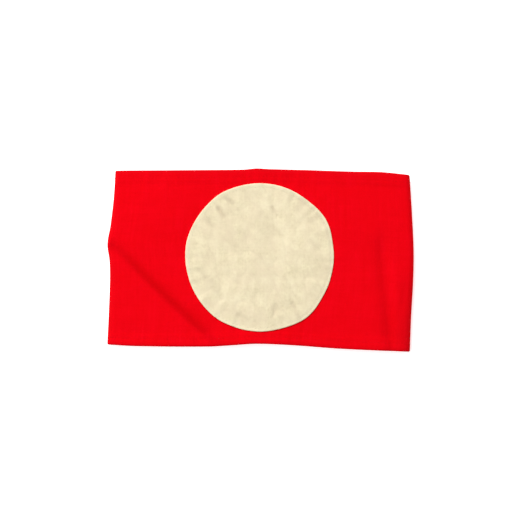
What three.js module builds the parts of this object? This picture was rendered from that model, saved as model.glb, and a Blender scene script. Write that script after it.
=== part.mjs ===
// A cloth armband: a red strip with hemmed edges, sewn into a loop for an arm, and a cream
// disc sewn on its front. It lies on its back on a flat surface, disc up, with some air left
// between its two layers. X runs along the loop's flat width, Y across the strip from its
// lower to its upper edge, and Z up from the surface. Sizes are in millimetres.
import * as THREE from 'three';

const { lerp, radToDeg, smoothstep } = THREE.MathUtils;

// Cloth
const CLOTH = 1.0; // one layer of the red cloth
const HEM_THICKNESS = 1.7; // the strip's edge, turned to the inside once
const HEM_WIDTH = 6;
const HEM_STEP = 0.7; // the hem's raw edge slopes over this width
const EDGE_ROUNDING = 0.35; // the turned edge is rounded by about this much
const SEAM_WIDTH = 12; // the strip's ends overlap by this much at the middle of the back
const SEAM_STEP = 0.5;
const SEAM_THICKNESS = 0.8; // the second layer, pressed by its stitching

// How the loop lies
const STRIP_HEIGHT = 110; // across the strip, from hem to hem
const LIE_HEIGHT = 10.5; // from the surface to the top of the front layer
const FOLD_REACH = 4.2; // the loop turns back on itself within this width at its left side

// Disc
const DISC_RADIUS = 46.7;
const DISC_THICKNESS = 1.0;
const DISC_CENTRE = new THREE.Vector2(-0.4, 1.75);
const DISC_GAP = 0.3; // kept between the disc and the front layer
const DISC_SIDES = 64;
// Where its cut edge stands out from a true circle: at an angle, over a reach in degrees.
const DISC_BULGES = [
  { angle: 30, reach: 14, out: 1.3 },
  { angle: 122, reach: 11, out: 0.6 },
  { angle: 168, reach: 15, out: 0.5 },
  { angle: 232, reach: 13, out: 0.4 },
  { angle: 308, reach: 14, out: 1.3 },
  { angle: 342, reach: 14, out: -0.2 },
];

// The outline seen from above. The side tables give x for each y, the others y for each x.
const LEFT_SIDE = [
  { at: -53.1, edge: -96.8 },
  { at: -35.0, edge: -95.9 },
  { at: -12.0, edge: -95.1 },
  { at: 0.0, edge: -95.4 },
  { at: 10.0, edge: -96.7 },
  { at: 22.0, edge: -94.7 },
  { at: 40.0, edge: -92.6 },
  { at: 56.3, edge: -91.6 },
];
const RIGHT_SIDE = [
  { at: -57.7, edge: 94.4 },
  { at: -36.0, edge: 95.2 },
  { at: -15.0, edge: 96.4 },
  { at: 5.0, edge: 96.8 },
  { at: 28.0, edge: 95.8 },
  { at: 53.6, edge: 94.2 },
];
// The width within which the loop turns back at its right side, for each y. It bulges below.
const RIGHT_REACH = [
  { at: -57.7, edge: 9.0 },
  { at: -42.0, edge: 8.0 },
  { at: -24.0, edge: 5.6 },
  { at: -6.0, edge: 4.4 },
  { at: 12.0, edge: 4.2 },
  { at: 53.6, edge: 4.2 },
];
const LOWER_EDGE = [
  { at: -96.8, edge: -53.1 },
  { at: -78.0, edge: -54.1 },
  { at: -33.0, edge: -54.4 },
  { at: -17.6, edge: -53.5 },
  { at: -2.5, edge: -52.6 },
  { at: 20.0, edge: -53.5 },
  { at: 50.0, edge: -55.7 },
  { at: 94.4, edge: -57.7 },
];
const UPPER_EDGE = [
  { at: -91.6, edge: 56.3 },
  { at: -33.0, edge: 56.7 },
  { at: -10.0, edge: 57.0 },
  { at: -2.5, edge: 57.7 },
  { at: 5.0, edge: 57.3 },
  { at: 28.0, edge: 56.7 },
  { at: 58.0, edge: 55.7 },
  { at: 76.0, edge: 55.4 },
  { at: 94.2, edge: 53.6 },
];

// Folds of the front layer. A step leaves the cloth lower on its right-hand side, going from
// its first point to its last, and falls fastest near its foot if its lean is over 1. Its line
// bows out to its right-hand side by its bow. A valley dips along its line and fades out past
// its ends.
const STEPS = [
  { x1: -90.3, y1: 10.4, x2: -32.2, y2: -45.7, width: 10, drop: 2.4, lean: 2.3, bow: 1.0 },
];
const VALLEYS = [
  { x1: 77.7, y1: 2, x2: 83.5, y2: -58, width: 4.5, drop: 1.6 },
  { x1: 98.5, y1: -28, x2: 97.5, y2: -60, width: 8.5, drop: 2.8 },
];
const VALLEY_FADE = 13;
// Soft swells and hollows of the front layer.
const SWELLS = [
  { x: -60, y: 40, reach: 26, rise: 0.5 },
  { x: -2, y: -56, reach: 16, rise: 0.7 },
  { x: -3, y: 57, reach: 13, rise: 0.5 },
  { x: 30, y: -62, reach: 20, rise: -0.5 },
  { x: 62, y: 30, reach: 24, rise: 0.4 },
  { x: 0, y: 2, reach: 36, rise: -0.5 },
  { x: -78, y: -45, reach: 22, rise: -0.2 },
];

// How finely the surfaces are cut
const FRONT_COLUMNS = 48;
const BACK_COLUMNS = 8; // on each side of the back seam
const FOLD_COLUMNS = 8;
const ROWS_BETWEEN_HEMS = 19;
const DISC_RINGS = [0.18, 0.36, 0.53, 0.69, 0.84, 0.94, 0.985];

// A count of equal steps from one value to another, both ends included.
const spread = (from, to, count) =>
  Array.from({ length: count + 1 }, (_, i) => lerp(from, to, i / count));

// The smooth curve through a table's rows, read at one place.
function readTable(table, place) {
  const last = table.length - 1;
  const slope = (i) => {
    const before = table[Math.max(i - 1, 0)];
    const after = table[Math.min(i + 1, last)];
    return (after.edge - before.edge) / (after.at - before.at);
  };
  let i = 0;
  while (i < last - 1 && place > table[i + 1].at) i += 1;
  const [a, b] = [table[i], table[i + 1]];
  const span = b.at - a.at;
  const t = (place - a.at) / span;
  return (
    a.edge * (1 + 2 * t) * (1 - t) ** 2 +
    b.edge * (3 - 2 * t) * t ** 2 +
    span * (slope(i) * t * (1 - t) ** 2 - slope(i + 1) * t ** 2 * (1 - t))
  );
}

// The x of the loop's side at a share of the way across the strip, from 0 at the lower edge.
function sideAt(table, across) {
  return readTable(table, lerp(table[0].at, table[table.length - 1].at, across));
}

// The y of a point of the strip, from its shares of the way along the width and across.
function heightAcross(along, across) {
  const edgeAt = (table) =>
    readTable(table, lerp(table[0].at, table[table.length - 1].at, along));
  return lerp(edgeAt(LOWER_EDGE), edgeAt(UPPER_EDGE), across);
}

// A point's place beside a fold's line: its distance to the right, how far past an end it is,
// and how far the line bows out there, from 0 at its ends to 1 at its middle.
function besideLine(fold, x, y) {
  const start = new THREE.Vector2(fold.x1, fold.y1);
  const run = new THREE.Vector2(fold.x2, fold.y2).sub(start);
  const length = run.length();
  const way = run.divideScalar(length);
  const offset = new THREE.Vector2(x, y).sub(start);
  const along = offset.dot(way);
  const share = THREE.MathUtils.clamp(along / length, 0, 1);
  return {
    right: offset.x * way.y - offset.y * way.x,
    past: Math.max(-along, along - length, 0),
    bowed: 4 * share * (1 - share),
  };
}

// The top of the front layer above the surface that the armband lies on.
function frontTop(x, y) {
  let z = LIE_HEIGHT;
  for (const step of STEPS) {
    const { right, bowed } = besideLine(step, x, y);
    const from = right - step.bow * bowed;
    z -= step.drop * smoothstep(from, -step.width / 2, step.width / 2) ** step.lean;
  }
  for (const valley of VALLEYS) {
    const { right, past } = besideLine(valley, x, y);
    z -= valley.drop * Math.exp(-((right / valley.width) ** 2) - (past / VALLEY_FADE) ** 2);
  }
  for (const swell of SWELLS) {
    const away = Math.hypot(x - swell.x, y - swell.y);
    z += swell.rise * Math.exp(-((away / swell.reach) ** 2));
  }
  return z;
}

// The rows across the strip: their share of the way, and how thick the cloth is in each.
function stripRows() {
  const hem = [
    { away: 0, wall: HEM_THICKNESS - 2 * EDGE_ROUNDING, inset: EDGE_ROUNDING },
    { away: EDGE_ROUNDING, wall: HEM_THICKNESS, inset: 0 },
    { away: HEM_WIDTH, wall: HEM_THICKNESS, inset: 0 },
  ];
  const inner = HEM_WIDTH + HEM_STEP;
  const plain = spread(inner, STRIP_HEIGHT - inner, ROWS_BETWEEN_HEMS).map((away) => ({
    away,
    wall: CLOTH,
    inset: 0,
  }));
  const upperHem = hem.map((row) => ({ ...row, away: STRIP_HEIGHT - row.away })).reverse();
  return [...hem, ...plain, ...upperHem].map((row) => ({
    ...row,
    across: row.away / STRIP_HEIGHT,
  }));
}

// The columns round the loop: along the back from right to left, up the left fold, along
// the front from left to right and down the right fold.
function loopColumns() {
  const half = SEAM_WIDTH / 2;
  const back = [
    ...spread(1, 0, BACK_COLUMNS).map((share) => ({ part: 'back', side: 1, share })),
    { part: 'seam', x: half },
    { part: 'seam', x: -half },
    ...spread(0, 1, BACK_COLUMNS).map((share) => ({ part: 'back', side: -1, share })),
  ];
  const turn = spread(0, 1, FOLD_COLUMNS).slice(1, -1);
  return [
    ...back,
    ...turn.map((share) => ({ part: 'fold', side: -1, share })),
    ...spread(0, 1, FRONT_COLUMNS).map((share) => ({ part: 'front', share })),
    ...turn.map((share) => ({ part: 'fold', side: 1, share: 1 - share })),
  ];
}

// One point of the loop's outer or inner face, in a row and a column.
function loopPoint(row, column, inner) {
  const left = sideAt(LEFT_SIDE, row.across);
  const right = sideAt(RIGHT_SIDE, row.across);
  const leftTurn = left + FOLD_REACH;
  const rightTurn = right - sideAt(RIGHT_REACH, row.across);
  const yAt = (x) => heightAcross((x - left) / (right - left), row.across);
  const depth = row.inset + (inner ? row.wall : 0);
  const seamEdge = SEAM_WIDTH / 2 + SEAM_STEP;

  if (column.part === 'front') {
    const x = lerp(leftTurn, rightTurn, column.share);
    const y = yAt(x);
    return new THREE.Vector3(x, y, frontTop(x, y) - depth);
  }
  if (column.part === 'back') {
    const x = lerp(column.side * seamEdge, column.side > 0 ? rightTurn : leftTurn, column.share);
    return new THREE.Vector3(x, yAt(x), depth);
  }
  if (column.part === 'seam') {
    return new THREE.Vector3(column.x, yAt(column.x), depth + (inner ? SEAM_THICKNESS : 0));
  }
  // A fold is half an ellipse, from the back layer at share 0 to the front layer at share 1.
  const [middle, reach] =
    column.side > 0 ? [rightTurn, right - rightTurn] : [leftTurn, FOLD_REACH];
  const rise = frontTop(middle, yAt(middle)) / 2;
  const angle = Math.PI * (column.share - 0.5);
  const x = middle + column.side * (reach - depth) * Math.cos(angle);
  return new THREE.Vector3(x, yAt(x), rise + (rise - depth) * Math.sin(angle));
}

// A closed solid from two grids of points, an outer and an inner face with the same rows and
// columns. The columns close on themselves, and the first and last rows join the two faces.
function tubeWall(outer, inner) {
  const rows = outer.length;
  const columns = outer[0].length;
  const positions = [...outer, ...inner].flat().flatMap((p) => p.toArray());
  const index = [];
  const at = (face, row, column) => (face * rows + row) * columns + (column % columns);
  const quad = (a, b, c, d) => index.push(a, c, b, a, d, c);
  for (let c = 0; c < columns; c += 1) {
    for (let r = 0; r + 1 < rows; r += 1) {
      quad(at(0, r, c), at(0, r + 1, c), at(0, r + 1, c + 1), at(0, r, c + 1));
      quad(at(1, r, c), at(1, r, c + 1), at(1, r + 1, c + 1), at(1, r + 1, c));
    }
    quad(at(0, 0, c), at(0, 0, c + 1), at(1, 0, c + 1), at(1, 0, c));
    const end = rows - 1;
    quad(at(0, end, c), at(1, end, c), at(1, end, c + 1), at(0, end, c + 1));
  }
  const geometry = new THREE.BufferGeometry();
  geometry.setAttribute('position', new THREE.Float32BufferAttribute(positions, 3));
  geometry.setIndex(index);
  geometry.computeVertexNormals();
  return geometry;
}

// The red strip, sewn into a loop.
function makeBand() {
  const columns = loopColumns();
  const face = (inner) =>
    stripRows().map((row) => columns.map((column) => loopPoint(row, column, inner)));
  const cloth = new THREE.MeshStandardMaterial({
    color: 0xe00a1a,
    roughness: 0.85,
    metalness: 0,
  });
  const band = new THREE.Mesh(tubeWall(face(false), face(true)), cloth);
  band.name = 'band';
  return band;
}

// The disc's radius at an angle.
function discRadius(angle) {
  let radius = DISC_RADIUS;
  for (const bulge of DISC_BULGES) {
    const away = THREE.MathUtils.euclideanModulo(radToDeg(angle) - bulge.angle + 180, 360) - 180;
    radius += bulge.out * Math.exp(-((away / bulge.reach) ** 2));
  }
  return radius;
}

// One point of the disc: a share of its radius, an angle, and a height in its thickness.
function discPoint(share, angle, level) {
  const x = DISC_CENTRE.x + discRadius(angle) * share * Math.cos(angle);
  const y = DISC_CENTRE.y + discRadius(angle) * share * Math.sin(angle);
  return new THREE.Vector3(x, y, frontTop(x, y) + DISC_GAP + level);
}

// The cream disc, which follows the front layer and has its edge turned under.
function makeDisc() {
  const angles = spread(0, 2 * Math.PI, DISC_SIDES).slice(0, -1);
  const rounding = EDGE_ROUNDING;
  const rings = [
    ...DISC_RINGS.map((share) => ({ share, level: DISC_THICKNESS })),
    { share: 1, level: DISC_THICKNESS - rounding },
    { share: 1, level: rounding },
    ...[...DISC_RINGS].reverse().map((share) => ({ share, level: 0 })),
  ];
  const points = rings.flatMap((ring) =>
    angles.map((angle) => discPoint(ring.share, angle, ring.level)),
  );
  points.push(discPoint(0, 0, DISC_THICKNESS), discPoint(0, 0, 0));
  const [top, bottom] = [points.length - 2, points.length - 1];
  const at = (ring, side) => ring * DISC_SIDES + (side % DISC_SIDES);
  const last = rings.length - 1;
  const index = [];
  for (let s = 0; s < DISC_SIDES; s += 1) {
    index.push(top, at(0, s), at(0, s + 1));
    for (let r = 0; r < last; r += 1) {
      index.push(at(r, s), at(r + 1, s), at(r + 1, s + 1));
      index.push(at(r, s), at(r + 1, s + 1), at(r, s + 1));
    }
    index.push(bottom, at(last, s + 1), at(last, s));
  }
  const geometry = new THREE.BufferGeometry();
  geometry.setAttribute(
    'position',
    new THREE.Float32BufferAttribute(points.flatMap((p) => p.toArray()), 3),
  );
  geometry.setIndex(index);
  geometry.computeVertexNormals();
  const cloth = new THREE.MeshStandardMaterial({
    color: 0xece0c0,
    roughness: 0.9,
    metalness: 0,
  });
  const disc = new THREE.Mesh(geometry, cloth);
  disc.name = 'disc';
  return disc;
}

const armband = new THREE.Group();
armband.add(makeBand(), makeDisc());

export default armband;
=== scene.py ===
import math

import bpy
import numpy as np
from mathutils import Matrix, Vector, noise


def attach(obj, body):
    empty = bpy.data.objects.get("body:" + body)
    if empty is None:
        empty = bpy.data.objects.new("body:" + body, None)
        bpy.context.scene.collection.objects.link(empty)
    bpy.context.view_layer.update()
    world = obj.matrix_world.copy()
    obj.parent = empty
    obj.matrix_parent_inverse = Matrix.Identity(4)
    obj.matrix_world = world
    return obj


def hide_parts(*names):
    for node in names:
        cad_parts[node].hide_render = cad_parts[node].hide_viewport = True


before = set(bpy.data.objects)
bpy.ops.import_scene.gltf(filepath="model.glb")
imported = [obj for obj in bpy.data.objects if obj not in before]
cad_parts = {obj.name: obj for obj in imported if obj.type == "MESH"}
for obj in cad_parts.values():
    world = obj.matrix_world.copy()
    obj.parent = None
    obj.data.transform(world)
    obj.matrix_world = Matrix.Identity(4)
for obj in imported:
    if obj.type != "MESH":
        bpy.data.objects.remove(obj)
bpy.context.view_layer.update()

MM = 0.001

# Cloth
CLOTH = 0.52 * MM  # one layer
PLY = 0.56 * MM  # from one layer to the next where they are sewn together
LIFT = 0.2 * MM  # the stitches hold the strip this far off the surface
STRIP_HEIGHT = 110 * MM  # across the strip, from hem to hem
HEM_WIDTH = 6 * MM
HEM_TUCK = 1.1 * MM  # the raw edge ends this far inside the hem's outer fold
HEM_BEND = 1.2 * PLY  # the hem's outer fold takes up this much of its width
LAP = 12 * MM  # the strip's ends overlap by this much at the middle of the back
LAP_STEP = 0.8 * MM  # the inner end climbs over the outer one within this length
LAP_EASE = 1.5 * MM  # beside the hems, with less below it, it comes down within this width

# How the loop lies
LIE_HEIGHT = 10.5 * MM  # from the surface to the top of the front layer
FOLD_REACH = 4.2 * MM  # the loop turns back on itself within this width at its left side
FOLD_FULLNESS = 0.75  # 1 makes a side fold's section half an ellipse, and less makes it squarer
HALF_WIDTH = 95.6 * MM  # from the middle of the loop to its side folds, on average
BACK_MARGIN = 14 * MM  # the back layer has no relief at its side folds, and its full one past this
BACK_SHARE = 0.3  # the back layer lies on the surface and shows this much of the front's relief

# Disc
DISC_CLOTH = 0.3 * MM  # one layer of the disc's finer cloth
DISC_PLY = 0.32 * MM
DISC_RADIUS = 46.7 * MM
DISC_CENTRE = (-0.4 * MM, 1.75 * MM)
DISC_TURN = 5 * MM  # the width turned under at its edge
DISC_PUFF = 0.45 * MM  # how far the disc stands off the strip between its stitches

# Sewing
THREAD = 0.3 * MM
STITCH_PITCH = 2.4 * MM
STITCH_SHOWN = 1.9 * MM
STITCH_STAND = 0.03 * MM  # from the cloth's face up to the middle of the thread
STITCH_CUTS = (-0.78, -0.4, 0.4, 0.78)  # in shares of half its length
# How a stitch's ends sink into the cloth: the shares of half its length that are moved, from and
# to, how far down, and the share of its thickness that is left.
STITCH_ENDS = ((0.9, 1.1, 0.21 * MM, 0.62), (0.7, 0.85, 0.07 * MM, 0.92))
HEM_ROW = 4.7 * MM  # from the strip's edge
DISC_ROW = 2.2 * MM  # from the disc's edge
LAP_ROW = 2.2 * MM  # from each end of the strip
HEM_ROW_START = 1 * MM  # a hem's row starts this far from the strip's end
LAP_ROW_START = 1.5 * MM  # and a lap's row this far from the strip's edge

# The outline seen from above, in millimetres. The side tables give x for each y, the others y
# for each x.
LEFT_SIDE = [
    (-53.1, -96.8), (-35.0, -95.9), (-12.0, -95.1), (0.0, -95.4),
    (10.0, -96.7), (22.0, -94.7), (40.0, -92.6), (56.3, -91.6),
]
RIGHT_SIDE = [
    (-57.7, 94.4), (-36.0, 95.2), (-15.0, 96.4), (5.0, 96.8), (28.0, 95.8), (53.6, 94.2),
]
# The width within which the loop turns back at its right side, for each y. It bulges below.
RIGHT_REACH = [(-57.7, 9.0), (-42.0, 8.0), (-24.0, 5.6), (-6.0, 4.4), (12.0, 4.2), (53.6, 4.2)]
LOWER_EDGE = [
    (-96.8, -53.1), (-78.0, -54.1), (-33.0, -54.4), (-17.6, -53.5),
    (-2.5, -52.6), (20.0, -53.5), (50.0, -55.7), (94.4, -57.7),
]
UPPER_EDGE = [
    (-91.6, 56.3), (-33.0, 56.7), (-10.0, 57.0), (-2.5, 57.7), (5.0, 57.3),
    (28.0, 56.7), (58.0, 55.7), (76.0, 55.4), (94.2, 53.6),
]

# Where the disc's edge stands out from a true circle: (angle, reach) in degrees and how far in
# millimetres.
DISC_BULGES = [
    (30, 14, 1.3), (122, 11, 0.6), (168, 15, 0.5),
    (232, 13, 0.4), (308, 14, 1.3), (342, 14, -0.2),
]
DISC_WOBBLE = 0.12 * MM  # how far the edge wavers besides

# Folds of the front layer, in millimetres: (x1, y1, x2, y2, width, drop), and a step's lean and
# bow. A step leaves the cloth lower on its right-hand side, going from its first point to its
# last, and falls fastest near its foot if its lean is over 1. Its line bows out to its right-hand
# side by its bow. A valley dips along its line and fades out past its ends.
STEPS = [(-90.3, 10.4, -32.2, -45.7, 10, 2.4, 2.3, 1.0)]
VALLEYS = [(77.7, 2, 83.5, -58, 4.5, 1.6), (98.5, -28, 97.5, -60, 8.5, 2.8)]
VALLEY_FADE = 13 * MM
# Soft swells and hollows of the front layer, in millimetres: (x, y, reach, rise).
SWELLS = [
    (-60, 40, 26, 0.5), (-2, -56, 16, 0.7), (-3, 57, 13, 0.5), (30, -62, 20, -0.5),
    (62, 30, 24, 0.4), (0, 2, 36, -0.5), (-78, -45, 22, -0.2),
]
# Small tucks in the disc, in millimetres: (x1, y1, x2, y2, width, drop).
DISC_TUCKS = [
    (-27.1, 33.5, -23.3, 27.5, 1.3, 0.6),
    (-22.0, 39.5, -16.3, 35.1, 1.3, 0.55),
    (-35.0, 26.0, -30.5, 22.0, 1.7, 0.4),
    (7.6, 33.0, 10.7, 27.5, 1.2, 0.55),
    (20.2, -27.9, 24.0, -35.5, 1.3, 0.65),
    (10.1, -29.2, 8.9, -35.5, 1.5, 0.4),
    (29.0, 38.0, 25.2, 31.0, 2.2, 0.3),
    (-14.0, -35.0, -8.0, -38.5, 1.8, 0.35),
    (31.5, 12.0, 36.0, 7.0, 1.7, 0.3),
    (-38.0, -7.0, -33.0, -12.5, 1.8, 0.3),
    (-30.2, -14.0, -25.2, -24.2, 2.4, 0.35),
]
TUCK_FADE = 1.8 * MM
TUCK_WANDER = 1.6 * MM  # how far a tuck strays to either side of its line
DEEPEST_TUCK = max(tuck[5] for tuck in DISC_TUCKS) * MM

# Soft unevenness of the strip, in millimetres: (rise, size along x, size along y), and the layer
# of noise that it is read from.
CRUMPLES = [(0.34, 31, 37, 1.5), (0.13, 9, 17, 2.5), (0.09, 19, 7, 3.5), (0.035, 3.8, 4.2, 4.5)]

# Relief of the strip along its hems
HEM_SWELL = 0.14 * MM  # between the outer fold and the row of stitches
HEM_SWELL_PLACE, HEM_SWELL_WIDTH = 2.2 * MM, 1.9 * MM
HEM_GROOVE, HEM_GROOVE_WIDTH = 0.2 * MM, 0.65 * MM  # along the row of stitches
HEM_FALL = 0.3 * MM  # from the hem down to the single cloth beside it
HEM_FALL_START, HEM_FALL_END = HEM_WIDTH - 0.6 * MM, HEM_WIDTH + 3 * MM
HEM_PUCKER, HEM_PUCKER_REACH = 0.2 * MM, 6.5 * MM
UPPER_HEM_SHIFT = 1.0  # the upper hem reads the same noise from further on, so the two differ

# Relief round the disc's row of stitches, in the strip below and in the disc
RING_GROOVE, RING_GROOVE_WIDTH = 0.06 * MM, 0.9 * MM
RING_PUCKER_SIZE, RING_PUCKER_REACH = 3.4 * MM, 8 * MM
STRIP_RING_PUCKER = 0.2 * MM
DISC_RING_PUCKER = 0.12 * MM
DISC_STAND = 0.07 * MM  # keeps the disc clear of the strip where the two pucker
DISC_ROLL = 0.04 * MM  # the swell of the disc's folded edge
DISC_ROLL_PLACE, DISC_ROLL_WIDTH = 1.0 * MM, 0.9 * MM

# Relief of the disc inside its turned edge
PUFF_START, PUFF_END = DISC_TURN - 0.8 * MM, DISC_TURN + 4 * MM
DISC_SWELL = 0.34 * MM  # broad swells
DISC_RIPPLE = 0.16 * MM  # and small ones
WRINKLE_RISE = 0.55 * MM  # how steeply the disc rises from its wrinkles, for each unit of noise
WRINKLE_LIMIT = 0.4  # the noise at which that ends
WRINKLE_SINK = 0.1 * MM  # what the rise adds on average is taken off again

# How dark the painted shade in creases is, from 0 to 1
STEP_DARKNESS = 0.62
STEP_CORE = 1.0 * MM  # the darkest line lies this far to the right of a step's own
STEP_SHADE_LEFT, STEP_SHADE_RIGHT = 4.0 * MM, 2.2 * MM  # how far the dark spreads from it
STEP_SHADE_FADE = 0.4  # below 1, the dark lasts longer towards the step's ends
VALLEY_DARKNESS = 0.1
TUCK_DARKNESS = 0.6
WRINKLE_DARKNESS, WRINKLE_WIDTH = 0.16, 0.11  # the width in units of noise
RING_DARKNESS, RING_SHADE_WIDTH = 0.45, 0.7 * MM

# How finely the cloth is cut
FRONT_COLUMN = 1.15 * MM
BACK_COLUMN = 1.7 * MM
FOLD_COLUMNS = 14
BODY_ROWS = 92
HEM_ROWS = 5  # in each flat layer of a hem
INNER_FOLD_STEPS = 4
OUTER_FOLD_STEPS = 6
DISC_SIDES = 360
DISC_RINGS = 62
UNDER_RINGS = 5
DISC_FOLD_STEPS = 5


# The lie of the cloth


def smooth(value, low, high):
    t = np.clip((value - low) / (high - low), 0, 1)
    return t * t * (3 - 2 * t)


def bell(value, width):
    return np.exp(-((value / width) ** 2))


def unevenness(x, y, size_x, size_y, layer):
    """Smooth unevenness between about -1 and 1, with features of the given sizes. Each layer
    of the noise is another pattern."""
    spots = zip(np.ravel(x / size_x), np.ravel(y / size_y))
    values = [noise.noise(Vector((a, b, layer))) for a, b in spots]
    return np.reshape(values, np.shape(x))


def read_table(table, place):
    """The smooth curve through a table's rows, read at each place."""
    at, edge = np.array(table).T * MM
    slope = np.gradient(edge)
    slope[1:-1] = (edge[2:] - edge[:-2]) / (at[2:] - at[:-2])
    slope[0], slope[-1] = np.diff(edge)[[0, -1]] / np.diff(at)[[0, -1]]
    i = np.clip(np.searchsorted(at, place) - 1, 0, len(at) - 2)
    span = at[i + 1] - at[i]
    t = (place - at[i]) / span
    return (
        edge[i] * (1 + 2 * t) * (1 - t) ** 2
        + edge[i + 1] * (3 - 2 * t) * t**2
        + span * (slope[i] * t * (1 - t) ** 2 - slope[i + 1] * t**2 * (1 - t))
    )


def read_share(table, share):
    """A table read at a share of the way from its first row to its last."""
    first, last = table[0][0] * MM, table[-1][0] * MM
    return read_table(table, first + (last - first) * share)


def beside_line(line, x, y):
    """Distance to the right of a line's way, how far past either of its ends, and the share of
    its bow that a bowed line has there, from 0 at its ends to 1 at its middle."""
    x1, y1, x2, y2 = (value * MM for value in line[:4])
    length = math.hypot(x2 - x1, y2 - y1)
    way_x, way_y = (x2 - x1) / length, (y2 - y1) / length
    along = (x - x1) * way_x + (y - y1) * way_y
    right = (x - x1) * way_y - (y - y1) * way_x
    share = np.clip(along / length, 0, 1)
    return right, np.maximum(np.maximum(-along, along - length), 0), 4 * share * (1 - share)


def beside_step(step, x, y):
    """Distance to the right of a step's bowed line, and the share of its bow there."""
    right, _, bowed = beside_line(step, x, y)
    return right - step[7] * MM * bowed, bowed


def valley(line, x, y, fade):
    """How far the cloth dips in a valley, which fades out past its ends."""
    right, past, _ = beside_line(line, x, y)
    width, drop = line[4] * MM, line[5] * MM
    return drop * bell(right, width) * bell(past, fade)


def front_top(x, y):
    """The main form of the front layer, above the surface that the armband lies on."""
    z = LIE_HEIGHT + 0 * x
    for step in STEPS:
        width, drop, lean = step[4] * MM, step[5] * MM, step[6]
        z = z - drop * smooth(beside_step(step, x, y)[0], -width / 2, width / 2) ** lean
    for line in VALLEYS:
        z = z - valley(line, x, y, VALLEY_FADE)
    for swell_x, swell_y, reach, rise in SWELLS:
        far = np.hypot(x - swell_x * MM, y - swell_y * MM)
        z = z + rise * MM * bell(far, reach * MM)
    return z


def disc_radius(angle):
    """Distance from the disc's centre to its edge, at an angle in radians."""
    radius = DISC_RADIUS + 0 * angle
    for at, reach, out in DISC_BULGES:
        away = (np.degrees(angle) - at + 180) % 360 - 180
        radius = radius + out * MM * bell(away, reach)
    return radius


def from_disc(x, y):
    """Distance in from the disc's edge, and the angle round its centre."""
    off_x, off_y = x - DISC_CENTRE[0], y - DISC_CENTRE[1]
    angle = np.arctan2(off_y, off_x)
    return disc_radius(angle) - np.hypot(off_x, off_y), angle


def ring_puckers(x, y):
    """Small radial puckers where the disc's stitches draw the cloth in."""
    inset, angle = from_disc(x, y)
    ring, size = DISC_RADIUS - DISC_ROW, RING_PUCKER_SIZE
    ripple = unevenness(ring * np.cos(angle), ring * np.sin(angle), size, size, 5.5)
    return ripple * bell(inset - DISC_ROW, RING_PUCKER_REACH)


def sewn_relief(x, away):
    """Relief along the strip's edges: a swell over the hem, its stitch line, small puckers."""
    edge = np.minimum(away, STRIP_HEIGHT - away)
    row = np.where(away < STRIP_HEIGHT / 2, edge, edge + UPPER_HEM_SHIFT)
    swell = HEM_SWELL * bell(edge - HEM_SWELL_PLACE, HEM_SWELL_WIDTH)
    groove = -HEM_GROOVE * bell(edge - HEM_ROW, HEM_GROOVE_WIDTH)
    inside = -HEM_FALL * smooth(edge, HEM_FALL_START, HEM_FALL_END)
    pucker = unevenness(x, row, 3.2 * MM, 14 * MM, 0.3)
    return swell + groove + inside + HEM_PUCKER * pucker * bell(edge - HEM_ROW, HEM_PUCKER_REACH)


def crumple(x, y):
    """Soft unevenness of cloth that has been pressed, folded away and laid out again."""
    return MM * sum(
        rise * unevenness(x, y, size_x * MM, size_y * MM, layer)
        for rise, size_x, size_y, layer in CRUMPLES
    )


def front_relief(x, y, away):
    """What the front layer's outer face adds to its main form."""
    groove = -RING_GROOVE * bell(from_disc(x, y)[0] - DISC_ROW, RING_GROOVE_WIDTH)
    return sewn_relief(x, away) + crumple(x, y) + groove + STRIP_RING_PUCKER * ring_puckers(x, y)


def front_crease_shade(x, y):
    """How dark the painted shade in the front layer's creases is, from 0 to 1."""
    dark = 0 * x
    for step in STEPS:
        right, bowed = beside_step(step, x, y)
        from_core = right - STEP_CORE
        width = np.where(from_core < 0, STEP_SHADE_LEFT, STEP_SHADE_RIGHT)
        dark = dark + STEP_DARKNESS * bell(from_core, width) * bowed**STEP_SHADE_FADE
    for line in VALLEYS:
        dark = dark + VALLEY_DARKNESS * valley(line, x, y, VALLEY_FADE) / (line[5] * MM)
    return dark


def front_face(x, y):
    """Height of the front layer's outer face at a place between the side folds."""
    low = read_table(LOWER_EDGE, x)
    away = STRIP_HEIGHT * (y - low) / (read_table(UPPER_EDGE, x) - low)
    return front_top(x, y) + front_relief(x, y, away)


# The strip's way round: along the back from its inner end to the left fold, round it, along
# the front, round the right fold and along the back to its outer end.
BACK_LEG = HALF_WIDTH - FOLD_REACH + LAP / 2
FRONT_LEG = 2 * (HALF_WIDTH - FOLD_REACH)
FOLD_LEG = math.pi * math.hypot(FOLD_REACH, LIE_HEIGHT / 2) / math.sqrt(2)
LEGS = np.array([BACK_LEG, FOLD_LEG, FRONT_LEG, FOLD_LEG, BACK_LEG])
LEG_ENDS = np.cumsum(LEGS)
STRIP_LENGTH = LEG_ENDS[-1]

# What the strip was cut to, across it with both of its hems opened out, and along it
strip_cut = (2 * (HEM_WIDTH - HEM_TUCK) + 2 * HEM_WIDTH + STRIP_HEIGHT, STRIP_LENGTH)


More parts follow.
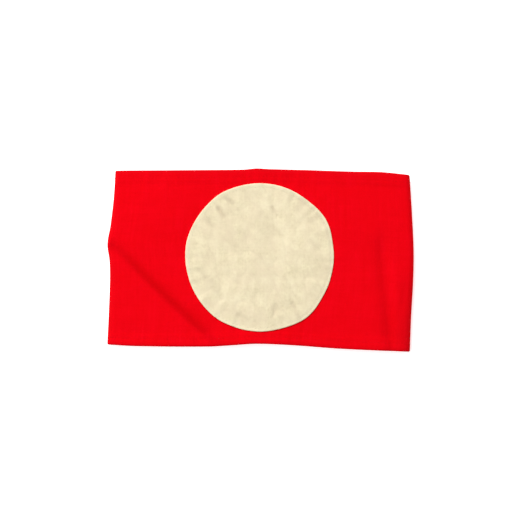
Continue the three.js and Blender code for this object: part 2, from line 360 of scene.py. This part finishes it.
def lay_strip(place, away, depth):
    """Points of the strip as it lies: along it from its inner end, up from its lower edge, and
    in from its outer face."""
    place, away, depth = (a.copy() for a in np.broadcast_arrays(place, away, depth))
    across = away / STRIP_HEIGHT
    left, right = read_share(LEFT_SIDE, across), read_share(RIGHT_SIDE, across)
    leg = np.searchsorted(LEG_ENDS[:-1], place, side="right")
    share = (place - (LEG_ENDS - LEGS)[leg]) / LEGS[leg]
    right_reach = read_share(RIGHT_REACH, across)
    left_turn, right_turn = left + FOLD_REACH, right - right_reach

    def up_at(x):
        along = (x - left) / (right - left)
        low, high = read_share(LOWER_EDGE, along), read_share(UPPER_EDGE, along)
        return low + (high - low) * across

    # Back and front
    x = np.select(
        [leg == 0, leg == 2, leg == 4],
        [
            LAP / 2 + (left_turn - LAP / 2) * share,
            left_turn + (right_turn - left_turn) * share,
            right_turn - (LAP / 2 + right_turn) * share,
        ],
        0.0,
    )
    # Side folds
    side = np.where(leg == 1, -1, 1)
    middle = np.where(leg == 1, left_turn, right_turn)
    turn = math.pi * (np.where(leg == 1, share, 1 - share) - 0.5)
    reach = np.where(leg == 1, FOLD_REACH, right_reach)
    in_fold = (leg == 1) | (leg == 3)
    across_fold = np.maximum(np.cos(turn), 0) ** FOLD_FULLNESS
    up_fold = np.sign(turn) * np.abs(np.sin(turn)) ** FOLD_FULLNESS
    x = np.where(in_fold, middle + side * (reach - depth) * across_fold, x)
    y = up_at(x)
    rise = (front_top(middle, up_at(middle)) - LIFT) / 2
    fold_z = LIFT + rise + (rise - depth) * up_fold

    relief = front_relief(x, y, away)
    facing_up = np.where(in_fold, np.clip(np.sin(turn), 0, 1) ** 2, 1.0)
    # The inner end of the strip climbs over its outer end.
    edge = np.minimum(away, STRIP_HEIGHT - away)
    layers = 1 + 2 * (1 - smooth(edge, HEM_WIDTH, HEM_WIDTH + LAP_EASE))
    climb = PLY * layers * smooth(x, -LAP / 2 - LAP_STEP, -LAP / 2)
    clear = smooth(np.minimum(x - left_turn, right_turn - x), 0, BACK_MARGIN)
    back_z = LIFT + depth + clear * BACK_SHARE * np.abs(relief)
    z = np.select(
        [leg == 0, leg == 2, leg == 4],
        [back_z + climb, front_top(x, y) + relief - depth, back_z],
        fold_z + relief * facing_up,
    )
    return np.stack([x, y, z], axis=-1)


def hem_section():
    """The strip's section at its lower edge, from the raw edge tucked inside to the outer
    face: (up from the edge, depth of the cloth's middle)."""
    turn = PLY / 2
    inner = HEM_WIDTH - turn
    tucked = [(away, 1.5 * PLY) for away in np.linspace(HEM_TUCK, inner, HEM_ROWS)]
    inner_fold = [
        (inner + turn * math.sin(a), 2 * PLY - turn * math.cos(a))
        for a in np.linspace(0, math.pi, INNER_FOLD_STEPS + 1)[1:-1]
    ]
    lining = [(away, 2.5 * PLY) for away in np.linspace(inner, HEM_BEND, HEM_ROWS)]
    outer_fold = [
        (HEM_BEND - PLY * math.sin(a), 1.5 * PLY + PLY * math.cos(a))
        for a in np.linspace(0, math.pi, OUTER_FOLD_STEPS + 1)[1:-1]
    ]
    return tucked + inner_fold + lining + outer_fold


def strip_rows():
    """All rows across the strip, from one tucked raw edge to the other."""
    lower = hem_section()
    aways = np.linspace(HEM_BEND, STRIP_HEIGHT - HEM_BEND, BODY_ROWS)
    body = [(away, PLY / 2) for away in aways]
    upper = [(STRIP_HEIGHT - away, depth) for away, depth in reversed(lower)]
    return np.array(lower + body + upper)


def strip_columns():
    """All columns along the strip, closer together on the front, with one at each end of the
    step that the lap's inner end climbs."""
    back, front = round(BACK_LEG / BACK_COLUMN), round(FRONT_LEG / FRONT_COLUMN)
    counts = [back, FOLD_COLUMNS, front, FOLD_COLUMNS, back]
    places = [
        np.arange(count) / count * leg + end - leg
        for count, leg, end in zip(counts, LEGS, LEG_ENDS)
    ]
    places = np.concatenate(places + [[LAP + LAP_STEP, STRIP_LENGTH]])
    places[np.argmin(np.abs(places - LAP))] = LAP
    return np.sort(places)


# Modelling


def deselect_all():
    if bpy.context.object and bpy.context.object.mode != "OBJECT":
        bpy.ops.object.mode_set(mode="OBJECT")
    bpy.ops.object.select_all(action="DESELECT")


def pick(piece):
    deselect_all()
    piece.select_set(True)
    bpy.context.view_layer.objects.active = piece


def edit_all(piece):
    """Goes into edit mode with all of a piece selected."""
    pick(piece)
    bpy.ops.object.mode_set(mode="EDIT")
    bpy.ops.mesh.select_all(action="SELECT")


def flat_cloth(name, columns, rows):
    """A flat sheet of cloth with that many columns and rows of points."""
    deselect_all()
    bpy.ops.mesh.primitive_grid_add(x_subdivisions=columns - 1, y_subdivisions=rows - 1, size=2)
    sheet = bpy.context.object
    sheet.name = sheet.data.name = name
    return sheet


def grid_places(sheet, columns, rows):
    """The column and the row of each point of a flat sheet."""
    flat = np.array([point.co[:2] for point in sheet.data.vertices])
    shares = (flat + 1) / 2
    return np.rint(shares * [columns - 1, rows - 1]).astype(int).T


def move_points(sheet, points):
    sheet.data.vertices.foreach_set("co", np.ravel(points).astype(np.float32))
    sheet.data.update()


def mark_cut(sheet, along, across):
    """A map of the flat cut, in metres, that the weave follows."""
    corners = np.array([loop.vertex_index for loop in sheet.data.loops])
    cut = sheet.data.uv_layers[0]
    cut.name = "cut"
    cut.data.foreach_set("uv", np.stack([along[corners], across[corners]], axis=-1).ravel())


def mark_crease_shade(sheet, dark):
    """How dark the painted shade in the cloth's creases is at each of its points, for its finish.
    """
    creased = sheet.data.attributes.new("creased", "FLOAT", "POINT")
    creased.data.foreach_set("value", np.clip(dark, 0, 1).astype(np.float32))


def thicken(sheet, thickness):
    """Gives a sheet its thickness, half of it to either side."""
    pick(sheet)
    solidify = sheet.modifiers.new("Cloth thickness", "SOLIDIFY")
    solidify.thickness, solidify.offset, solidify.use_even_offset = thickness, 0, True
    bpy.ops.object.modifier_apply(modifier=solidify.name)
    edit_all(sheet)
    bpy.ops.mesh.normals_make_consistent(inside=False)
    bpy.ops.object.mode_set(mode="OBJECT")
    bpy.ops.object.shade_smooth()


def make_strip():
    rows, columns = strip_rows(), strip_columns()
    sheet = flat_cloth("band_cloth", len(columns), len(rows))
    column, row = grid_places(sheet, len(columns), len(rows))
    away, depth = rows[row].T
    width = np.append(0, np.cumsum(np.hypot(*np.diff(rows, axis=0).T)))
    place = columns[column]
    points = lay_strip(place, away, depth)
    on_front = (place > LEG_ENDS[1]) & (place < LEG_ENDS[2])
    mark_cut(sheet, place, width[row])
    # Painted shade in the front layer's creases, kept as a point attribute.
    mark_crease_shade(sheet, on_front * front_crease_shade(points[:, 0], points[:, 1]))
    move_points(sheet, points)
    thicken(sheet, CLOTH)
    return sheet


def disc_tucks(x, y):
    """How far the disc dips in its tucks, none of which is quite straight."""
    aside = TUCK_WANDER * unevenness(x, y, 6 * MM, 6 * MM, 13.5)
    return sum(valley(line, x + aside, y - aside, TUCK_FADE) for line in DISC_TUCKS)


def disc_wrinkles(x, y):
    """Soft swells of the disc with fine creases where this passes through zero."""
    return unevenness(x + 0.5 * y, y - 0.4 * x, 9 * MM, 15 * MM, 9.5)


def disc_height(x, y):
    """Height of the middle of the disc's upper layer."""
    inset = from_disc(x, y)[0]
    beside_wrinkle = np.minimum(np.abs(disc_wrinkles(x, y)), WRINKLE_LIMIT)
    puff = DISC_PUFF + DISC_SWELL * unevenness(x, y, 13 * MM, 15 * MM, 8.5)
    puff = puff + WRINKLE_RISE * beside_wrinkle - WRINKLE_SINK
    puff = puff + DISC_RIPPLE * unevenness(x, y, 4.4 * MM, 5.2 * MM, 10.5)
    raised = smooth(inset, PUFF_START, PUFF_END) * (puff - DISC_PLY - disc_tucks(x, y))
    pucker = DISC_RING_PUCKER * ring_puckers(x, y) + DISC_STAND
    roll = DISC_ROLL * bell(inset - DISC_ROLL_PLACE, DISC_ROLL_WIDTH)
    return front_face(x, y) + DISC_PLY * 1.5 + raised + pucker + roll


def disc_crease_shade(x, y):
    """How dark the painted shade in the disc's creases is, from 0 to 1: its tucks, its wrinkles
    and, on its right, the line of its stitches."""
    inset, angle = from_disc(x, y)
    tucks = TUCK_DARKNESS * disc_tucks(x, y) / DEEPEST_TUCK
    fine = WRINKLE_DARKNESS * bell(disc_wrinkles(x, y), WRINKLE_WIDTH)
    on_right = smooth(np.cos(angle), 0.1, 0.8)
    row = RING_DARKNESS * on_right * bell(inset - DISC_ROW, RING_SHADE_WIDTH)
    return tucks + fine + row


def disc_rings():
    """The disc's section from its raw edge, turned under, over its outer fold to its centre:
    (distance in from its edge, share of the way up from the turned layer)."""
    turn = DISC_PLY / 2
    edge = DISC_CLOTH / 2
    under = [(inset, 0.0) for inset in np.linspace(DISC_TURN, edge + turn, UNDER_RINGS)]
    fold = [
        (edge + turn * (1 - math.sin(a)), (1 - math.cos(a)) / 2)
        for a in np.linspace(0, math.pi, DISC_FOLD_STEPS + 1)[1:-1]
    ]
    top = [(inset, 1.0) for inset in np.linspace(edge + turn, DISC_RADIUS, DISC_RINGS)]
    return np.array(under + fold + top)


def make_disc():
    rings = disc_rings()
    sheet = flat_cloth("disc_cloth", DISC_SIDES + 1, len(rings))
    column, row = grid_places(sheet, DISC_SIDES + 1, len(rings))
    angle = column / DISC_SIDES * 2 * math.pi
    inset, up = rings[row].T
    turned = row < UNDER_RINGS
    way_x, way_y = np.cos(angle), np.sin(angle)
    wobble = unevenness(way_x * DISC_RADIUS, way_y * DISC_RADIUS, 9 * MM, 9 * MM, 6.5)
    out = (disc_radius(angle) + DISC_WOBBLE * wobble) * (1 - inset / DISC_RADIUS)
    x, y = DISC_CENTRE[0] + out * way_x, DISC_CENTRE[1] + out * way_y
    cut_out = DISC_RADIUS + np.where(turned, inset, -inset)
    mark_cut(sheet, cut_out * way_x, cut_out * way_y)
    # Painted shade in the disc's tucks, wrinkles and stitch line.
    mark_crease_shade(sheet, disc_crease_shade(x, y))
    low, high = front_face(x, y) + DISC_PLY * 0.5, disc_height(x, y)
    move_points(sheet, np.stack([x, y, low + (high - low) * up], axis=-1))
    edit_all(sheet)
    bpy.ops.mesh.remove_doubles(threshold=0.01 * MM)
    bpy.ops.mesh.normals_make_consistent(inside=False)
    bpy.ops.object.mode_set(mode="OBJECT")
    thicken(sheet, DISC_CLOTH)
    return sheet


# Sewing


def select_points(piece, wanted):
    """Leaves only the points in a place selected, in edit mode."""
    bpy.ops.mesh.select_all(action="DESELECT")
    bpy.ops.object.mode_set(mode="OBJECT")
    for point in piece.data.vertices:
        point.select = wanted(point.co)
    bpy.ops.object.mode_set(mode="EDIT")
    bpy.ops.mesh.select_mode(type="VERT")


def model_stitch():
    """One stitch along X: a short thread that rises from the cloth and goes back in."""
    deselect_all()
    half = STITCH_SHOWN / 2
    bpy.ops.mesh.primitive_cylinder_add(
        vertices=6, radius=THREAD / 2, depth=STITCH_SHOWN, end_fill_type="NGON",
        rotation=(0, math.pi / 2, 0),
    )
    stitch = bpy.context.object
    bpy.ops.object.transform_apply(location=True, rotation=True, scale=True)
    bpy.ops.object.mode_set(mode="EDIT")
    for share in STITCH_CUTS:
        bpy.ops.mesh.select_all(action="SELECT")
        bpy.ops.mesh.bisect(plane_co=(share * half, 0, 0), plane_no=(1, 0, 0))
    for nearest, furthest, drop, width in STITCH_ENDS:
        for side in (-1, 1):
            select_points(stitch, lambda co: nearest * half < side * co.x < furthest * half)
            bpy.ops.transform.resize(value=(1, width, width))
            bpy.ops.transform.translate(value=(0, 0, -drop))
    bpy.ops.object.mode_set(mode="OBJECT")
    bpy.ops.object.shade_smooth()
    return stitch


def sew(name, stitch, rows):
    """Copies of the stitch along rows of points, each row with the way that its face looks."""
    copies = []
    for points, outward in rows:
        # Every second point is the middle of a stitch, between the holes at its two ends.
        holes, middles = points[::2], points[1::2]
        for before, middle, after, out in zip(holes, middles, holes[1:], outward[1::2]):
            tangent = Vector(after - before).normalized()
            normal = Vector(out)
            normal = (normal - tangent * normal.dot(tangent)).normalized()
            aside = normal.cross(tangent)
            copy = stitch.copy()
            copy.data = stitch.data.copy()
            place = Vector(middle) + normal * STITCH_STAND
            basis = Matrix((tangent, aside, normal)).transposed().to_4x4()
            copy.data.transform(Matrix.Translation(place) @ basis)
            bpy.context.collection.objects.link(copy)
            copies.append(copy)
    deselect_all()
    for copy in copies:
        copy.select_set(True)
    bpy.context.view_layer.objects.active = copies[0]
    bpy.ops.object.join()
    row = bpy.context.object
    row.name = row.data.name = name
    return row


def strip_row(places, away, depth, inner=False):
    """Points of a row of stitches on the strip, with the way that its face looks."""
    step = 0.3 * MM  # to either side, for the cloth's slope
    points = lay_strip(places, away, depth)
    along = lay_strip(places + step, away, depth) - lay_strip(places - step, away, depth)
    across = lay_strip(places, away + step, depth) - lay_strip(places, away - step, depth)
    outward = np.cross(along, across)
    return points, -outward if inner else outward


def stitch_places(start, end):
    """Places of the holes of a row of stitches, with the middles of the stitches between."""
    return np.linspace(start, end, 2 * round((end - start) / STITCH_PITCH) + 1)


def sew_hems(stitch):
    outside = stitch_places(LAP + LAP_STEP + HEM_ROW_START, STRIP_LENGTH - HEM_ROW_START)
    inside = stitch_places(HEM_ROW_START, STRIP_LENGTH - LAP - HEM_ROW_START)
    rows = []
    for away in (HEM_ROW, STRIP_HEIGHT - HEM_ROW):
        rows.append(strip_row(outside, away, 0.0))
        rows.append(strip_row(inside, away, 3 * PLY, inner=True))
    return sew("hem_stitches", stitch, rows)


def sew_lap(stitch):
    aways = stitch_places(LAP_ROW_START, STRIP_HEIGHT - LAP_ROW_START)
    from_ends = (LAP_ROW, LAP - LAP_ROW)
    rows = [strip_row(STRIP_LENGTH - from_end, aways, 0.0) for from_end in from_ends]
    return sew("lap_stitches", stitch, rows)


def sew_disc(stitch):
    angle = stitch_places(0, 2 * math.pi * (DISC_RADIUS - DISC_ROW))
    angle = angle / angle[-1] * 2 * math.pi
    ring = disc_radius(angle) - DISC_ROW
    x, y = DISC_CENTRE[0] + ring * np.cos(angle), DISC_CENTRE[1] + ring * np.sin(angle)
    points = np.stack([x, y, disc_height(x, y) + DISC_CLOTH / 2], axis=-1)
    straight_up = np.tile([0.0, 0.0, 1.0], (len(points), 1))
    return sew("disc_stitches", stitch, [(points, straight_up)])


# Materials


class Value:
    """A number at a node's socket. Arithmetic on it adds Math nodes."""

    def __init__(self, finish, socket):
        self.finish, self.socket = finish, socket

    def math(self, operation, a, b=0.0):
        return self.finish.node("ShaderNodeMath", {"operation": operation}, {0: a, 1: b})

    def __add__(self, other):
        return self.math("ADD", self, other)

    def __radd__(self, other):
        return self.math("ADD", other, self)

    def __sub__(self, other):
        return self.math("SUBTRACT", self, other)

    def __rsub__(self, other):
        return self.math("SUBTRACT", other, self)

    def __mul__(self, other):
        return self.math("MULTIPLY", self, other)

    def __rmul__(self, other):
        return self.math("MULTIPLY", other, self)

    def __truediv__(self, other):
        return self.math("DIVIDE", self, other)

    def __pow__(self, other):
        return self.math("POWER", self, other)

    def __abs__(self):
        return self.math("ABSOLUTE", self)

    def wave(self):
        """The sine of pi times this value."""
        return self.math("SINE", self * math.pi)

    def between(self, low, high):
        return self.math("MINIMUM", self.math("MAXIMUM", self, low), high)


class Finish:
    """One material and its nodes."""

    def __init__(self, name):
        self.material = bpy.data.materials.new(name)
        self.material.use_nodes = True
        self.tree = self.material.node_tree
        self.tree.nodes.clear()

    def node(self, kind, settings=None, values=None, output=0):
        """Adds a node: its settings first, then the values or links of its sockets."""
        made = self.tree.nodes.new(kind)
        for name, setting in (settings or {}).items():
            if name == "stops":
                self.set_stops(made.color_ramp, setting)
            else:
                setattr(made, name, setting)
        for key, value in (values or {}).items():
            if isinstance(value, Value):
                self.tree.links.new(value.socket, made.inputs[key])
            else:
                made.inputs[key].default_value = value
        return Value(self, made.outputs[output]) if made.outputs else None

    @staticmethod
    def set_stops(ramp, stops):
        while len(ramp.elements) < len(stops):
            ramp.elements.new(1.0)
        for element, (place, colour) in zip(ramp.elements, stops):
            element.position, element.color = place, (*colour, 1)

    def cut(self):
        """The cloth's flat cut: metres along, metres across, and both as a vector."""
        place = self.node("ShaderNodeUVMap", {"uv_map": "cut"})
        along = self.node("ShaderNodeSeparateXYZ", None, {0: place}, "X")
        across = self.node("ShaderNodeSeparateXYZ", None, {0: place}, "Y")
        return along, across, place

    def vector(self, x, y):
        return self.node("ShaderNodeCombineXYZ", None, {0: x, 1: y})

    def noise(self, place, scale, detail, seed):
        """Noise about zero, from -1 to 1, with that many features a metre."""
        value = self.node(
            "ShaderNodeTexNoise",
            {"noise_dimensions": "4D"},
            {"Vector": place, "W": seed, "Scale": scale, "Detail": detail, "Roughness": 0.55},
            "Fac",
        )
        return value * 2 - 1

    def colour_mix(self, share, first, second):
        def rgba(colour):
            return colour if isinstance(colour, Value) else (*colour, 1)

        return self.node(
            "ShaderNodeMix",
            {"data_type": "RGBA", "blend_type": "MIX"},
            {0: share, 6: rgba(first), 7: rgba(second)},
            2,
        )

    def scale_colour(self, colour, factor):
        return self.node(
            "ShaderNodeVectorMath", {"operation": "SCALE"}, {0: colour, "Scale": factor}
        )

    def shade(self, colour, roughness, height, distance, constants):
        """The shader: what varies is linked, and the rest is set on its own sockets."""
        bump = self.node(
            "ShaderNodeBump", None, {"Strength": 1.0, "Distance": distance, "Height": height}
        )
        varied = {"Base Color": colour, "Roughness": roughness, "Normal": bump}
        shader = self.node("ShaderNodeBsdfPrincipled", None, {**varied, **constants})
        self.node("ShaderNodeOutputMaterial", None, {"Surface": shader})
        return self.material


# How deep the bump of each finish is
WEAVE_DEPTH = 0.09 * MM
FIBRE_DEPTH = 0.03 * MM
PAPER_DEPTH = 0.02 * MM

# Where the strip has painted shade along its folded edges, and where the disc is worn
HEM_EDGE_SHADE = 1.6 * MM  # how far the painted shade reaches from a fold
# Painted shade at the strip's side folds, more at the left and only low on the right.
LEFT_EDGE_SHADE = 7.5 * MM
RIGHT_EDGE_SHADE = 13 * MM
DISC_WEAR = 3.2 * MM
LEFT_SHADE_DEPTH, RIGHT_SHADE_DEPTH = 1.2, 0.8
SPARED_PLACE, SPARED_REACH = 10 * MM, 14 * MM  # where the crease runs into the left fold, up from the strip's middle, this much of the painted shade is taken off again
SPARED_DEPTH = 0.8  # up from the strip's middle, this much of the wear is taken off again
RIGHT_SHADE_TOP = 66 * MM  # it fades out this far up from the lower hem's raw edge


def near(distance, reach):
    """1 at no distance, falling to 0 at the reach."""
    return (1.0 - distance / reach).between(0.0, 1.0)


def strip_edge_shade(along, across):
    """Painted shade along the strip's hems, at its left side fold, though less where the front
    layer's crease runs into that, and at the lower half of its right side fold."""
    middle = strip_cut[0] / 2
    from_hems = abs(abs(across - middle) - (middle - HEM_WIDTH * 2 + HEM_TUCK))
    from_left = abs(along - (LEG_ENDS[1] - FOLD_LEG / 2))
    from_right = abs(along - (LEG_ENDS[3] - FOLD_LEG / 2))
    spared = near(abs(across - (middle + SPARED_PLACE)), SPARED_REACH) * SPARED_DEPTH
    at_left = near(from_left, LEFT_EDGE_SHADE) * (LEFT_SHADE_DEPTH - spared)
    at_right = near(from_right, RIGHT_EDGE_SHADE) * near(across, RIGHT_SHADE_TOP) * RIGHT_SHADE_DEPTH
    return near(from_hems, HEM_EDGE_SHADE) + at_left + at_right


def disc_wear(along, across):
    """Wear along the disc's folded edge."""
    return near(abs((along * along + across * across) ** 0.5 - DISC_RADIUS), DISC_WEAR)


def cotton(
    name, base, shade, light, aged, edge_wear_and_shade, wear_and_shade_at, creased, warp, weft, sheen_tint, sheen,
    specular, mottle, slubby,
):
    """Plain-woven cotton: threads that differ a little, soft mottling and a matt finish, with
    its colour drifting here and there towards an aged one, changed along its folded edges (paler
    wear on the disc, painted shade on the strip) and darkened by painted shade in its creases."""
    finish = Finish(name)
    along, across, cut = finish.cut()

    def slubs(warps, wefts, seed):
        """Thick and thin stretches of thread, that many warps long and wefts high."""
        place = finish.vector(along / (warps * warp), across / (wefts * weft))
        return finish.noise(place, scale=1.0, detail=2, seed=seed)

    crossing = abs((along / warp).wave() * (across / weft).wave()) ** 0.6
    slub = slubs(2.2, 60, 1.3) * 0.5 + slubs(60, 2.2, 4.1) * 0.4 + slubs(5.5, 90, 9.2) * 0.4
    cloudy = finish.noise(cut, scale=38.0, detail=3, seed=7.7)
    spotty = finish.noise(cut, scale=170.0, detail=3, seed=2.9)
    fine = finish.noise(cut, scale=620.0, detail=2, seed=6.2)
    mottling = (cloudy * 0.6 + spotty * 0.9 + fine * 0.55) * mottle
    tone = (slub * slubby + mottling + 0.5).between(0.0, 1.0)
    colour = finish.node(
        "ShaderNodeValToRGB", {"stops": [(0.0, shade), (0.5, base), (1.0, light)]}, {0: tone}
    )
    broad_drift = finish.noise(cut, scale=95.0, detail=3, seed=11.3)
    fine_drift = finish.noise(cut, scale=420.0, detail=2, seed=3.1)
    drift = broad_drift * 0.9 + fine_drift * 0.5
    colour = finish.colour_mix((drift + 0.4).between(0.0, 1.0), colour, aged)
    # Along folded edges: paler wear on the disc, painted shade on the strip.
    wear_and_shade = wear_and_shade_at(along, across) * (drift * 0.5 + 0.8)
    colour = finish.colour_mix(wear_and_shade.between(0.0, 1.0), colour, edge_wear_and_shade)
    # Painted shade, darker in the creases.
    crease_shade_share = finish.node("ShaderNodeAttribute", {"attribute_name": "creased"}, None, "Fac")
    colour = finish.colour_mix(crease_shade_share, colour, creased)
    colour = finish.scale_colour(colour, crossing * 0.10 + 0.93)
    roughness = (slub * 0.05 + 0.88) - crossing * 0.05
    height = crossing * 0.5 + slub * 0.5
    return finish.shade(colour, roughness, height, WEAVE_DEPTH, {
        "Sheen Weight": sheen, "Sheen Roughness": 0.45, "Sheen Tint": (*sheen_tint, 1),
        "Specular IOR Level": specular,
    })


def thread(name, base, shade, sheen_tint):
    """Twisted sewing thread."""
    finish = Finish(name)
    place = finish.node("ShaderNodeTexCoord", None, None, "Object")
    fibre = finish.noise(place, scale=2600.0, detail=2, seed=5.5)
    batch = finish.noise(place, scale=60.0, detail=2, seed=8.5)
    tone = (fibre * 0.3 + batch * 0.2 + 0.5).between(0.0, 1.0)
    colour = finish.colour_mix(tone, shade, base)
    return finish.shade(colour, fibre * 0.1 + 0.75, fibre, FIBRE_DEPTH, {
        "Sheen Weight": 0.05, "Sheen Roughness": 0.4, "Sheen Tint": (*sheen_tint, 1),
        "Specular IOR Level": 0.05,
    })


def dress(piece, material):
    """Gives a piece its material and slot, and lets it ride on the armband."""
    piece.data.materials.clear()
    piece.data.materials.append(material)
    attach(piece, "root")


strip = make_strip()
disc = make_disc()
stitch = model_stitch()
hem_stitches = sew_hems(stitch)
lap_stitches = sew_lap(stitch)
disc_stitches = sew_disc(stitch)
bpy.data.objects.remove(stitch)

# The red's edge and crease colours are painted shade, darker along its folded edges and in its
# creases.
red_cotton = cotton(
    "red_cotton", base=(0.74, 0.0006, 0.0056), shade=(0.66, 0.0003, 0.003),
    light=(0.80, 0.001, 0.009), aged=(0.72, 0.0005, 0.004), edge_wear_and_shade=(0.58, 0.002, 0.006),
    wear_and_shade_at=strip_edge_shade, creased=(0.60, 0.0003, 0.002), warp=0.46 * MM, weft=0.52 * MM,
    sheen_tint=(1.0, 0.02, 0.03), sheen=0.04, specular=0.02, mottle=0.3, slubby=0.8,
)
# The cream's edge colour is paler wear along its folded edge; its crease colour is painted shade.
cream_cotton = cotton(
    "cream_cotton", base=(0.745, 0.664, 0.448), shade=(0.61, 0.535, 0.345),
    light=(0.82, 0.742, 0.52), aged=(0.70, 0.594, 0.416), edge_wear_and_shade=(0.77, 0.696, 0.482),
    wear_and_shade_at=disc_wear, creased=(0.56, 0.475, 0.33), warp=0.42 * MM, weft=0.44 * MM,
    sheen_tint=(1.0, 0.95, 0.8), sheen=0.08, specular=0.1, mottle=0.85, slubby=0.36,
)
red_thread = thread("red_thread", (0.72, 0.001, 0.006), (0.60, 0.0006, 0.004), (1.0, 0.02, 0.03))
cream_thread = thread("cream_thread", (0.82, 0.74, 0.56), (0.62, 0.54, 0.38), (1.0, 0.95, 0.85))
dress(strip, red_cotton)
dress(hem_stitches, red_thread)
dress(lap_stitches, red_thread)
dress(disc, cream_cotton)
dress(disc_stitches, cream_thread)
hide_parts("band")
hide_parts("disc")


# Floor, light and camera


FLOOR_SIZE = 4.0
FLOOR_DROP = 0.05 * MM  # keeps the floor clear of the armband


def add_floor():
    """A pale floor that glows a little, for a white ground with only a faint shadow."""
    deselect_all()
    bpy.ops.mesh.primitive_plane_add(size=FLOOR_SIZE, location=(0, 0, -FLOOR_DROP))
    floor = bpy.context.object
    floor.name = "floor"
    finish = Finish("floor_paper")
    place = finish.node("ShaderNodeTexCoord", None, None, "Object")
    grain = finish.noise(place, scale=900.0, detail=2, seed=1.1)
    colour = finish.colour_mix(grain * 0.5 + 0.5, (0.93, 0.93, 0.93), (0.95, 0.95, 0.95))
    paper = finish.shade(colour, grain * 0.02 + 0.9, grain, PAPER_DEPTH, {
        "Specular IOR Level": 0.1, "Emission Color": (1, 1, 1, 1), "Emission Strength": 0.6,
    })
    floor.data.materials.append(paper)


def add_lamp(name, place, size, power):
    """A soft round lamp that looks at the armband."""
    lamp = bpy.data.lights.new(name, "AREA")
    lamp.shape, lamp.size, lamp.energy = "DISK", size, power
    holder = bpy.data.objects.new(name, lamp)
    holder.location = place
    holder.rotation_euler = Vector(place).to_track_quat("Z", "Y").to_euler()
    bpy.context.scene.collection.objects.link(holder)


def add_sky(strength):
    world = bpy.data.worlds.new("studio")
    bpy.context.scene.world = world
    world.use_nodes = True
    sky = world.node_tree.nodes["Background"].inputs
    sky["Color"].default_value = (1, 1, 1, 1)
    sky["Strength"].default_value = strength


def add_camera():
    """Straight above the armband, with a lens that takes in the width seen at the height of its
    front layer."""
    height, seen, sensor = 2.6, 327.6 * MM, 0.036
    lens = bpy.data.cameras.new("camera")
    lens.sensor_width = sensor * 1000
    lens.lens = sensor * 1000 * (height - LIE_HEIGHT) / seen
    holder = bpy.data.objects.new("camera", lens)
    holder.location = (-0.28 * MM, 0.1 * MM, height)
    bpy.context.scene.collection.objects.link(holder)
    bpy.context.scene.camera = holder


add_floor()
add_lamp("key_lamp", place=(-0.45, 1.75, 1.6), size=1.08, power=56.0)
add_lamp("top_lamp", place=(-1.25, 0.05, 1.55), size=1.4, power=17.2)
add_sky(strength=0.34)
add_camera()
bpy.context.scene.view_settings.view_transform = "Standard"
